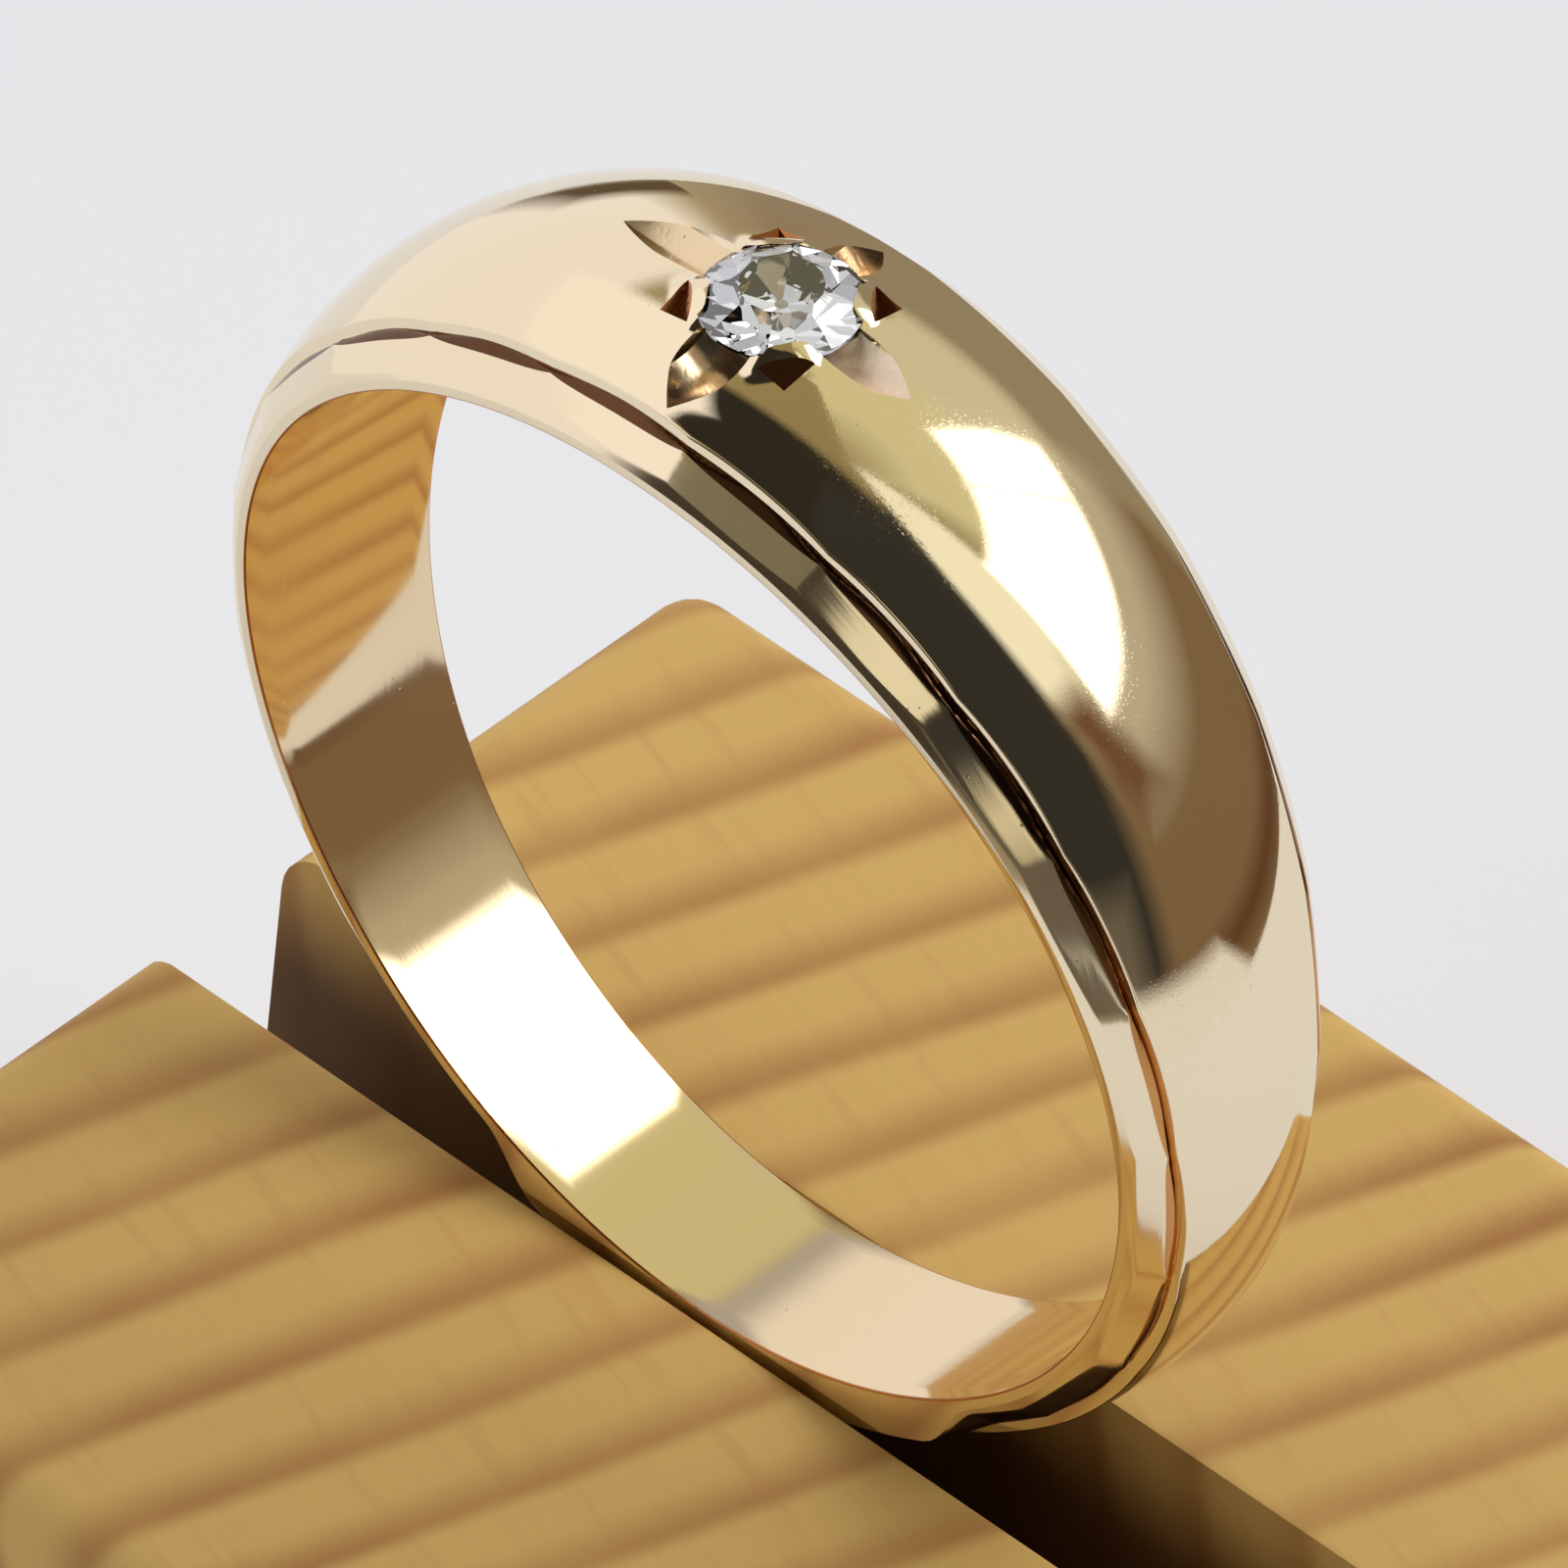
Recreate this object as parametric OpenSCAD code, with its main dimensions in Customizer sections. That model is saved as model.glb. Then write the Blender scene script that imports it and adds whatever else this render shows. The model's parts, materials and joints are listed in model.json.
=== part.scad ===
// Domed solitaire ring with a star-set brilliant, upright in a slotted wooden stand.
// Millimetres, +Z up. The origin is at the middle of the stand's underside.
// The finger hole runs along Y, and the stone looks straight up.

/* [Band] */
// Radius of the finger hole
finger_r = 8.5; // [7.5:0.1:10.5]
// Width of the band across its head
head_w = 5.9; // [5.4:0.1:6.6]
// Width of the band halfway down its sides
mid_w = 3.75; // [3.4:0.05:4]
// Width of the band at its foot
shank_w = 2.75; // [2.4:0.05:3]
// Thickness of metal under the crest at the head
head_t = 1.6; // [1.5:0.05:2]
// Thickness of metal at the foot
shank_t = 0.95; // [0.85:0.05:1.2]
// Radius of the dome across the band
dome_r = 4.5; // [4.2:0.1:6]

/* [Engraved border] */
// Scooped cuts along each side of a full turn
cuts = 22; // [18:1:26]
// Turn of the first cut away from the stone, in degrees
cut_turn = -4.7; // [-8:0.1:8]
// Metal left at the rim beside the finger hole
rim_t = 0.12; // [0.08:0.01:0.25]
// Width of a cut at the head
cut_w_head = 0.45; // [0.35:0.05:0.6]
// Width of a cut at the foot
cut_w_foot = 0.6; // [0.4:0.05:0.7]
// Height of the crescent wall between a cut and the dome
wall_h = 0.28; // [0.2:0.01:0.36]
// Radius of the graver's sweep along a cut
sweep_r = 4.7; // [4:0.1:7]
// Angle of the foot, each way, that is left uncut
plain_foot = 25; // [10:1:60]

/* [Star setting] */
// Reach of the leaf cut to the left of the stone, from the stone's middle
leaf_left = 3.2; // [2.6:0.05:3.4]
// Reach of the leaf cut to its right
leaf_right = 2.6; // [2.4:0.05:3.4]
// Reach of the leaf cut to the near edge of the band
leaf_near = 2.45; // [2.2:0.05:2.5]
// Reach of the leaf cut to the far edge
leaf_far = 2.2; // [2.1:0.05:2.5]
// Depth of the leaf cuts
leaf_d = 0.44; // [0.36:0.02:0.5]
// Radius of the beads of metal that hold the stone
bead_r = 0.5; // [0.45:0.01:0.55]
// Height of a bead's top above the stone's girdle
bead_h = 0.27; // [0.2:0.01:0.32]
// Depth of the three-sided pricks behind the beads
prick_d = 0.24; // [0.14:0.02:0.3]

/* [Stone] */
// Diameter of the stone
stone_d = 2.4; // [2.2:0.05:2.5]
// Height of the crown above the girdle
crown_h = 0.36; // [0.3:0.01:0.42]
// Share of the diameter taken by the table
table_share = 0.5; // [0.42:0.01:0.58]
// Slope of the pavilion
pavilion_slope = 40; // [38:0.5:42]
// Depth of the girdle below the band's crest
girdle_sink = 0.12; // [0.08:0.01:0.2]

/* [Stand] */
// Length of the wooden stand, along its slot
stand_l = 24.2; // [23:0.2:60]
// Width of the stand, across its slot
stand_w = 21; // [16:1:40]
// Height of the stand
stand_h = 12; // [9:1:30]
// Radius of the stand's worn edges
edge_r = 0.8; // [0.3:0.1:1.5]
// Distance of the ring's middle from the stand's middle, along the slot
ring_x = -1.1; // [-3:0.1:3]
// Distance of the slot from the stand's middle, across it
slot_y = 0.5; // [-3:0.5:3]
// Depth of the slot
slot_d = 6; // [3:0.5:8]
// Room between the foot's full width and each wall of the slot, at the level of its lowest line
slot_gap = 0.03; // [0.02:0.01:0.08]
// Lean of each slot wall, in degrees
slot_lean = 6; // [2:0.5:8]
// Bevel along the slot's upper edges
slot_bevel = 0.25; // [0.1:0.05:0.5]
// Height of the finger hole's lowest line above the wood
bore_clear = 0.08; // [0.05:0.01:0.5]

/* [Hidden] */
$fn = 96;
smooth = 180;
spare = 1;
seat_gap = 0.02;
seat_hollow = 0.12;
girdle_t = 0.03;

ring_z = stand_h + bore_clear + finger_r;
head_lift = head_t - shank_t;
crest_r = finger_r + shank_t;
crest_z = finger_r + head_t;
whole_reach = 4 * finger_r;

// Each side of the band is hollowed by a wide circle through three half widths.
half_top = head_w / 2;
half_mid = mid_w / 2;
half_low = shank_w / 2;
side_y = (pow(half_top, 2) + pow(half_low, 2) - 2 * pow(half_mid, 2) + 2 * pow(finger_r, 2))
    / (2 * (half_top + half_low - 2 * half_mid));
side_z = (pow(half_top, 2) - pow(half_mid, 2) + pow(finger_r, 2)
    - 2 * (half_top - half_mid) * side_y) / (2 * finger_r);
side_r = sqrt(pow(half_mid - side_y, 2) + pow(side_z, 2));
side_smooth = 720;

// The stone's own sizes, and how its smaller facets lean beside the main ones
stone_r = stone_d / 2;
table_r = stone_r * table_share;
girdle_z = crest_z - girdle_sink;
pavilion_d = stone_r * tan(pavilion_slope);
culet_t = 0.05;
corner_cut = 0.01;
star_lean = 0.6;
upper_lean = 8;
lower_lean = 2;

// Distances outward from the stone's edge
bead_out = 0.15;
prick_out = 0.52;
leaf_out = 0.2;

// Half the band's width at a height above the finger hole's middle
function half_width(z) = side_y - sqrt(pow(side_r, 2) - pow(z - side_z, 2));

// Slope of the band's side at that height
function side_slope(z) = (z - side_z) / sqrt(pow(side_r, 2) - pow(z - side_z, 2));

// Radius of the crest at an angle from the stone, and of the dome at a distance off the middle line
function crest_at(a) = max(crest_r,
    head_lift * cos(a) + sqrt(pow(crest_r, 2) - pow(head_lift * sin(a), 2)));
function dome_at(a, y) = crest_at(a) - dome_r + sqrt(pow(dome_r, 2) - pow(y, 2));

// Width of an engraved cut at an angle from the stone
function cut_width(a) = cut_w_head + (cut_w_foot - cut_w_head) * (1 - cos(a)) / 2;

// How far the head falls below its crest at a distance from the stone's middle, midway between
// its fall along the band and its fall across it
function corner_fall(r) = pow(r, 2) / 4 * (1 / crest_z + 1 / dome_r);

// One plain hoop with a domed outside
module hoop() {
    half = half_top + spare;
    rotate([90, 0, 0])
        rotate_extrude($fn = smooth)
            intersection() {
                translate([crest_r - dome_r, 0]) circle(r = dome_r, $fn = smooth);
                translate([finger_r - spare, -half]) square([crest_r, 2 * half]);
            }
}

// The part of the hoop on one side of the level where shank and head meet
module half_hoop(turn) {
    rotate([0, turn, 0])
        intersection() {
            hoop();
            translate([-whole_reach / 2, -whole_reach / 2, head_lift / 2 - whole_reach])
                cube(whole_reach);
        }
}

// The band before it is engraved: a plain hoop whose upper half is lifted to thicken the head
module plain_band() {
    difference() {
        union() {
            half_hoop(0);
            translate([0, 0, head_lift]) half_hoop(180);
        }
        for (side = [-1, 1])
            translate([0, side * side_y, side_z])
                rotate([0, 90, 0])
                    cylinder(r = side_r, h = whole_reach, center = true, $fn = side_smooth);
    }
}

// One scoop of the graver, on the +Y side, at an angle from the stone
module border_cut(a) {
    z = finger_r * cos(a);
    width = cut_width(a);
    foot_y = half_width(z) - width;
    wall_foot = dome_at(a, foot_y) - wall_h;
    rise = (wall_foot - finger_r - rim_t) / width;
    yaw = atan(-side_slope(z) * sin(a));
    reach = 2 * width;
    rotate([0, a, 0])
        translate([0, foot_y, wall_foot + sweep_r])
            rotate([0, 0, yaw])
                rotate([-90, 0, 0])
                    cylinder(r1 = sweep_r, r2 = sweep_r + rise * reach, h = reach);
}

// All the scoops of one side
module border() {
    step = 360 / cuts;
    for (i = [0 : cuts - 1]) {
        a = (i * step + cut_turn + 540) % 360 - 180;
        if (abs(a) < 180 - plain_foot) border_cut(a);
    }
}

// Leaf-shaped cut of a vee-edged wheel, out to a point on the falling dome, along +X
module leaf_cut(reach, fall_r) {
    middle = stone_r + leaf_out;
    wheel_r = 1 / (2 * leaf_d / pow(reach - middle, 2) - 1 / fall_r);
    translate([middle, 0, -pow(middle, 2) / (2 * fall_r)])
        rotate([0, asin(middle / fall_r), 0])
            translate([0, 0, wheel_r - leaf_d])
                rotate([90, 0, 0])
                    rotate_extrude() polygon([[0, -wheel_r], [wheel_r, 0], [0, wheel_r]]);
}

// The four leaf cuts of the star, in the order right, far, left and near
module star() {
    reach = [leaf_right, leaf_far, leaf_left, leaf_near];
    fall_r = [crest_z, dome_r, crest_z, dome_r];
    for (i = [0 : 3])
        rotate([0, 0, i * 90]) leaf_cut(reach[i], fall_r[i]);
}

// Three-sided prick, the corner of a cube, whose sharpest edge points away from the stone, along +X
module prick() {
    away = stone_r + prick_out;
    corner_lean = atan(sqrt(2));
    translate([away, 0, -corner_fall(away) - prick_d])
        rotate([0, -corner_lean, 180])
            rotate([0, 0, -45])
                cube(spare);
}

// Bead of metal raised over the stone's edge, along +X from the stone's middle at the girdle
module bead() {
    translate([stone_r + bead_out, 0, bead_h - bead_r]) sphere(r = bead_r, $fn = 48);
}

// Outline of the stone's seat: clear of the girdle, and hollow enough below it for the pavilion's edges
module seat() {
    wide = stone_r + seat_gap;
    top = crown_h + spare;
    rotate_extrude()
        polygon([[0, -pavilion_d - seat_hollow], [wide, -girdle_t - 2 * seat_gap],
            [wide, girdle_t + 2 * seat_gap], [table_r + 2 * seat_gap, crown_h + 3 * seat_gap],
            [table_r + 2 * seat_gap, top], [0, top]]);
}

// Band of gold with its engraving, the star round the stone and the beads
module gold_band() {
    color("#d9b56a")
        translate([ring_x, slot_y, ring_z])
            difference() {
                union() {
                    plain_band();
                    for (turn = [45 : 90 : 315])
                        translate([0, 0, girdle_z]) rotate([0, 0, turn]) bead();
                }
                for (side = [0, 1]) mirror([0, side, 0]) border();
                translate([0, 0, crest_z]) {
                    star();
                    for (turn = [45 : 90 : 315]) rotate([0, 0, turn]) prick();
                }
                translate([0, 0, girdle_z]) seat();
                rotate([90, 0, 0])
                    cylinder(r = finger_r, h = whole_reach, center = true, $fn = smooth);
            }
}

// Point-up pyramid of flat facets round an axis, each leaning by a slope and passing through one point
module facets(count, turn, slope, at_r, at_z) {
    side = 4 * stone_r;
    away = at_r * sin(slope) + at_z * cos(slope);
    intersection_for(i = [0 : count - 1])
        rotate([0, 0, turn + i * 360 / count])
            rotate([0, slope, 0])
                translate([-side / 2, -side / 2, away - side]) cube(side);
}

// Old-style round brilliant: table, star, main and girdle facets, pavilion and culet
module diamond() {
    eighth = 360 / 8;
    crown_slope = atan((crown_h - girdle_t) / (stone_r - table_r));
    corner_r = stone_r - corner_cut;
    low = pavilion_d - culet_t;
    color("#eef3f7", 0.7)
        translate([ring_x, slot_y, ring_z + girdle_z])
            rotate([0, 0, eighth / 4])
                intersection() {
                    translate([0, 0, -low]) cylinder(r = stone_r, h = low + crown_h);
                    facets(8, 0, crown_slope, table_r, crown_h);
                    facets(8, eighth / 2, crown_slope * star_lean, table_r, crown_h);
                    facets(16, eighth / 4, crown_slope + upper_lean, corner_r, girdle_t);
                    mirror([0, 0, 1]) facets(8, 0, pavilion_slope, stone_r, girdle_t);
                    mirror([0, 0, 1])
                        facets(16, eighth / 4, pavilion_slope + lower_lean, corner_r, girdle_t);
                }
}

// Rectangle with quarter-round corners
module rounded(wide, high) {
    translate([edge_r - wide / 2, -high / 2]) square([wide - 2 * edge_r, high]);
    translate([-wide / 2, edge_r - high / 2]) square([wide, high - 2 * edge_r]);
    for (x = [-1, 1]) for (y = [-1, 1])
        translate([x * (wide / 2 - edge_r), y * (high / 2 - edge_r)]) circle(r = edge_r);
}

// Slot with walls that lean in, so that the band's foot wedges between them
module slot() {
    foot_depth = shank_t - bore_clear;
    foot_half = half_low + slot_gap;
    top_half = foot_half + foot_depth * tan(slot_lean);
    floor_half = foot_half - (slot_d - foot_depth) * tan(slot_lean);
    bevel_half = top_half - slot_bevel * tan(slot_lean);
    translate([-stand_l / 2 - spare, slot_y, stand_h])
        rotate([90, 0, 90])
            linear_extrude(stand_l + 2 * spare)
                polygon([[-floor_half, -slot_d], [floor_half, -slot_d],
                    [bevel_half, -slot_bevel], [top_half + slot_bevel, 0],
                    [top_half + slot_bevel, spare], [-top_half - slot_bevel, spare],
                    [-top_half - slot_bevel, 0], [-bevel_half, -slot_bevel]]);
}

// Wooden stand: a sawn block with worn edges and a slot
module wood_stand() {
    color("#cba65b")
        difference() {
            translate([0, 0, stand_h / 2])
                intersection() {
                    linear_extrude(stand_h, center = true) rounded(stand_l, stand_w);
                    rotate([90, 0, 90])
                        linear_extrude(stand_l, center = true) rounded(stand_w, stand_h);
                    rotate([90, 0, 0])
                        linear_extrude(stand_w, center = true) rounded(stand_l, stand_h);
                }
            slot();
        }
}

gold_band();
diamond();
wood_stand();
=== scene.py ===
import json
import math
import bmesh
import bpy
import numpy as np
from mathutils import Matrix, Vector


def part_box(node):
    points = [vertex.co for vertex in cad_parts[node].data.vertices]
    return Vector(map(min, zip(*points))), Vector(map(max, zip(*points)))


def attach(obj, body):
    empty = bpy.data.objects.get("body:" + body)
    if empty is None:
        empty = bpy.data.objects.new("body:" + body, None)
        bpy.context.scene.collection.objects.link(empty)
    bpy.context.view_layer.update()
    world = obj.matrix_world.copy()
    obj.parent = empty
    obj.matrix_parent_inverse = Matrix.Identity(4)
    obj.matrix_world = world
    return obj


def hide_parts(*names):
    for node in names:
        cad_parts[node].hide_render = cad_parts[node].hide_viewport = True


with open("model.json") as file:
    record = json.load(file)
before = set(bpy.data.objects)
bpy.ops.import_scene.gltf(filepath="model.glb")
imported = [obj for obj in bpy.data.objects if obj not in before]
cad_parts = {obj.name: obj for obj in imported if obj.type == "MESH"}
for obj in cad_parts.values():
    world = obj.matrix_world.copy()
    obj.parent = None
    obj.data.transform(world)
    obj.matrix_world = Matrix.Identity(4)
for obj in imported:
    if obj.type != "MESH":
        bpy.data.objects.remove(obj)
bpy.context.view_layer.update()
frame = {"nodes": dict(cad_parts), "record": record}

# The plain band: one hoop of 14 carat gold, domed outside and cylindrical inside, filed down so that it
# is wide and thick at the head, where the stone sits, and narrow and thin at the foot.
mm = 0.001
finger_hole = next(m for m in frame["record"]["mounts"] if m["name"] == "finger_bore")
ring_middle = Vector(finger_hole["pos_m"])
finger_r = finger_hole["dims"]["r_mm"] * mm
head_half = 2.95 * mm
foot_half = 1.375 * mm
head_t = 1.6 * mm
foot_t = 0.95 * mm
dome_r = 4.5 * mm
taper = 1.6


def half_width(turn):
    """Half the band's width at an angle from the stone."""
    return foot_half + (head_half - foot_half) * ((1 + np.cos(turn)) / 2) ** taper


def crest_radius(turn):
    """Radius of the band's middle line at an angle from the stone."""
    return finger_r + foot_t + (head_t - foot_t) * np.clip(np.cos(turn), 0, None) ** taper


# The beads: four mounds of the band's own metal between the leaf cuts, raised with a graver and pushed
# over the stone's edge, steep towards the stone and falling gently away from it.
stone_r = 1.2 * mm
bead_h = 0.15 * mm
bead_away = 1.0 * mm
bead_half_l = 0.3 * mm
bead_fall = 0.6 * mm
bead_half_w = 0.6 * mm
bead_round = 0.55
bead_turns = [math.radians(45 + 90 * i) for i in range(4)]
head_cosine = 0.9


def smooth_step(x):
    x = np.clip(x, 0, 1)
    return x * x * (3 - 2 * x)


def bead_height(along, across):
    """How far the four beads stand above the dome."""
    height = 0 * along
    for turn in bead_turns:
        out = along * math.cos(turn) + across * math.sin(turn) - bead_away
        aside = across * math.cos(turn) - along * math.sin(turn)
        inward = smooth_step((1 - (out / bead_half_l) ** 2) / bead_round)
        outward = smooth_step(1 - out / bead_fall)
        sideways = smooth_step(1 - (aside / bead_half_w) ** 2)
        height = height + bead_h * np.where(out < 0, inward, outward) * sideways
    return height


def dome_radius(turn, across):
    """Radius of the domed outside at an angle from the stone and a distance off the middle line."""
    crest = crest_radius(turn)
    plain = crest - dome_r + np.sqrt(dome_r ** 2 - across ** 2)
    at_head = np.cos(turn) > head_cosine
    return plain + at_head * bead_height(crest * np.sin(turn), across)


# The engraved border: a row of scoops along each edge, under a steep step that runs all round below the
# dome. A scoop has a dark crescent wall, a flat floor that leans outward, and a bevel down to the rim
# beside the finger hole. The graver runs out before the plain foot.
cuts = 22
cut_step = 2 * math.pi / cuts
first_cut = math.radians(-4.7)
engraved_half = 9.5 * cut_step
runs_out = math.radians(9)
side_from = math.radians(20)
side_over = math.radians(30)
border_w = 0.53 * mm
edge_bulge = 0.04 * mm
edge_r = 0.03 * mm
step_h = 0.16 * mm
ridge_step_h = 0.11 * mm
side_step_h = 0.05 * mm
step_lean = 0.1
wall_w = 0.17 * mm
ridge_wall_w = -0.06 * mm
side_wall_w = 0.04 * mm
floor_slope = math.tan(math.radians(44))
rim_h = 0.18 * mm
rim_r = 0.03 * mm
bevel_h = 0.1 * mm
ridge_bevel_h = 0.07 * mm
bevel_lean = 0.47
hollow_power = 2.2
wall_bend, floor_to, bevel_from = 0.2, 0.9, 0.3
unevenness = np.random.default_rng(5).uniform(-1, 1, (2, cuts))
uneven_share = 0.12
deepest_place = uneven_share * unevenness[0]
depth_share = 1 + uneven_share * unevenness[1]
dome_rows, edge_rows, wall_rows, floor_rows, corner_rows, rim_rows, hole_rows = 40, 5, 8, 5, 4, 5, 5
tarnished_rows = 7
head_columns, plain_columns, head_cuts = 44, 16, 1.3


def steps(count):
    """Shares of the way from one row to another, without the first."""
    return np.linspace(0, 1, count + 1)[None, 1:]


def bent(start, corner, end, count):
    """Rows along a curve that starts towards a corner point and ends coming from it."""
    t = steps(count)
    return [a * (1 - t) ** 2 + 2 * c * t * (1 - t) + b * t ** 2 for a, c, b in zip(start, corner, end)]


def between(start, end, share):
    return [a + (b - a) * share for a, b in zip(start, end)]


def band_side(turn):
    """One side of the band's section at each angle, from the crest to the middle of the finger hole:
    arrays of radius and of distance off the middle line, one row for each angle."""
    turn = turn[:, None]
    place = (turn - first_cut) / cut_step
    cut_number = np.floor(place + 0.5 + 1e-6)
    along = np.clip(2 * (place - cut_number), -1, 1)
    cut_number = cut_number.astype(int) % cuts
    deepest = deepest_place[cut_number]
    off_deepest = np.abs(along - deepest) / np.where(along > deepest, 1 - deepest, 1 + deepest)
    hollow = depth_share[cut_number] * (1 - off_deepest ** hollow_power)
    wrapped = np.abs((turn - first_cut + math.pi) % (2 * math.pi) - math.pi)
    cut = smooth_step((engraved_half - wrapped) / runs_out)
    half = half_width(turn)

    edge_y = half - border_w - edge_bulge * hollow
    edge = edge_y, dome_radius(turn, edge_y)
    before_edge = edge_y - edge_r, dome_radius(turn, edge_y - edge_r)
    step_top = edge[0] + step_lean * edge_r, edge[1] - edge_r
    ridge = off_deepest ** 2
    side = smooth_step((wrapped - side_from) / side_over)
    stepped = step_h + ridge_step_h * ridge + side_step_h * side
    step_foot = edge[0] + step_lean * stepped, edge[1] - stepped
    bevel_rise = bevel_h + ridge_bevel_h * ridge
    bevel_top = half - bevel_lean * bevel_rise, finger_r + rim_h + bevel_rise
    floor_y = half - border_w + wall_w + ridge_wall_w * ridge ** 2 + side_wall_w * side
    floor_top = floor_y, bevel_top[1] + floor_slope * (bevel_top[0] - floor_y)
    corner_y = step_foot[0] + wall_bend * (floor_y - step_foot[0])
    wall_corner = corner_y, bevel_top[1] + floor_slope * (bevel_top[0] - corner_y)
    rim_top = half, finger_r + rim_h + 0 * half
    dome_y = before_edge[0] * np.linspace(0, 1, dome_rows)[None, :]
    stretches = [
        (dome_y, dome_radius(turn, dome_y)),
        bent(before_edge, edge, step_top, edge_rows),
        step_foot,
        bent(step_foot, wall_corner, floor_top, wall_rows),
        between(floor_top, bevel_top, floor_to * steps(floor_rows)),
        bent(between(floor_top, bevel_top, floor_to), bevel_top, between(bevel_top, rim_top, bevel_from),
             corner_rows),
        rim_top,
    ]
    outside_y = np.hstack([y for y, z in stretches])
    cut_z = np.hstack([z for y, z in stretches])
    plain_z = dome_radius(turn, outside_y)
    outside_z = plain_z + cut * (cut_z - plain_z)

    quarter = steps(rim_rows) * math.pi / 2
    inner_y = half - rim_r * (1 - np.cos(quarter))
    inner_z = finger_r + rim_r * (1 - np.sin(quarter)) + 0 * half
    hole_y = inner_y[:, -1:] * (1 - steps(hole_rows))
    hole_z = finger_r + 0 * hole_y
    rows_y = np.hstack([outside_y, half, inner_y, hole_y])
    rows_z = np.hstack([outside_z, finger_r + rim_r + 0 * half, inner_z, hole_z])
    cut_rows = wall_rows - tarnished_rows + floor_rows + corner_rows + 1
    finish_of_row = np.repeat([0, 3, 1, 0, 7, 2], [dome_rows + edge_rows + 1, tarnished_rows, cut_rows,
                                                   1, rim_rows, hole_rows])
    return rows_y, rows_z, finish_of_row


def band_mesh():
    """The engraved band as one closed grid, with finer columns at the head."""
    turns = []
    for i in range(cuts):
        middle = first_cut + (i - cuts // 2) * cut_step
        columns = head_columns if abs(middle) < head_cuts * cut_step else plain_columns
        turns.append(middle + cut_step * (np.arange(columns) / columns - 0.5))
    turn = np.concatenate(turns)
    rows_y, rows_z, finish_of_row = band_side(turn)
    ys = np.hstack([-rows_y, rows_y[:, -2:0:-1]])
    zs = np.hstack([rows_z, rows_z[:, -2:0:-1]])
    kind = np.concatenate([finish_of_row[1:], finish_of_row[:0:-1]])
    across = ys.shape[1]
    points = np.stack([zs * np.sin(turn)[:, None], ys, zs * np.cos(turn)[:, None]], -1).reshape(-1, 3)
    around = len(turn)
    col, row = np.meshgrid(np.arange(around), np.arange(across), indexing="ij")
    here = col * across + row
    beside = (col + 1) % around * across + row
    beside_next = (col + 1) % around * across + (row + 1) % across
    next_row = col * across + (row + 1) % across
    faces = np.stack([here, next_row, beside_next, beside], -1).reshape(-1, 4)
    mesh = bpy.data.meshes.new("gold_ring")
    mesh.from_pydata((points + np.array(ring_middle)).tolist(), [], faces.tolist())
    mesh.polygons.foreach_set("material_index", np.tile(kind, around).astype(np.int32))
    mesh.update()
    return mesh


# Gold: a shared group of fine wear, which gives scratches and specks as masks.
def group_with(name, inputs, outputs):
    """An empty shader group with named inputs (name, kind, value) and outputs (name, kind)."""
    group = bpy.data.node_groups.new(name, "ShaderNodeTree")
    for label, kind, value in inputs:
        socket = group.interface.new_socket(name=label, in_out="INPUT", socket_type=kind)
        socket.default_value = value
    for label, kind in outputs:
        group.interface.new_socket(name=label, in_out="OUTPUT", socket_type=kind)
    start = group.nodes.new("NodeGroupInput")
    end = group.nodes.new("NodeGroupOutput")
    return group, start.outputs, end.inputs


def add_node(tree, kind, sockets=None, **settings):
    """A node with its settings and socket values; a socket value that is itself an output is linked."""
    node = tree.nodes.new(kind)
    for key, value in settings.items():
        setattr(node, key, value)
    for key, value in (sockets or {}).items():
        if isinstance(value, bpy.types.NodeSocket):
            tree.links.new(value, node.inputs[key])
        else:
            node.inputs[key].default_value = value
    return node


def mixed(tree, share, plain, other):
    """A colour that goes from one to another as the share goes from 0 to 1."""
    node = add_node(tree, "ShaderNodeMix", {"Factor": share, 6: plain, 7: other}, data_type="RGBA")
    return node.outputs[2]


wear_group, wear_in, wear_out = group_with(
    "fine_wear",
    [("Stretch", "NodeSocketVector", (1, 1, 1)), ("Scratch Scale", "NodeSocketFloat", 9000.0),
     ("Scratch Share", "NodeSocketFloat", 0.3), ("Speck Scale", "NodeSocketFloat", 2500.0)],
    [("Scratches", "NodeSocketFloat"), ("Specks", "NodeSocketFloat"), ("Haze", "NodeSocketFloat")])
place = add_node(wear_group, "ShaderNodeTexCoord").outputs["Object"]
stretched = add_node(wear_group, "ShaderNodeVectorMath", {0: place, 1: wear_in["Stretch"]},
                     operation="MULTIPLY").outputs[0]
lines = add_node(wear_group, "ShaderNodeTexNoise",
                 {"Vector": stretched, "Scale": wear_in["Scratch Scale"], "Detail": 1.0}).outputs["Fac"]
cloud = add_node(wear_group, "ShaderNodeTexNoise",
                 {"Vector": place, "Scale": 300.0, "Detail": 1.0}).outputs["Fac"]
worn = add_node(wear_group, "ShaderNodeMapRange",
                {"Value": cloud, "From Min": 0.42, "From Max": 0.62,
                 "To Min": 0.15, "To Max": 1.0}).outputs[0]
past = add_node(wear_group, "ShaderNodeMapRange",
                {"Value": lines, "From Min": 0.52, "From Max": 0.75, "To Max": wear_in["Scratch Share"]})
scratched = add_node(wear_group, "ShaderNodeMath", {0: past.outputs["Result"], 1: worn},
                     operation="MULTIPLY").outputs[0]
wear_group.links.new(scratched, wear_out["Scratches"])
dots = add_node(wear_group, "ShaderNodeTexVoronoi",
                {"Vector": place, "Scale": wear_in["Speck Scale"], "Randomness": 1.0}).outputs["Distance"]
speck = add_node(wear_group, "ShaderNodeMapRange",
                 {"Value": dots, "From Min": 0.07, "From Max": 0.03, "To Max": worn})
wear_group.links.new(speck.outputs["Result"], wear_out["Specks"])
wear_group.links.new(cloud, wear_out["Haze"])


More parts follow.
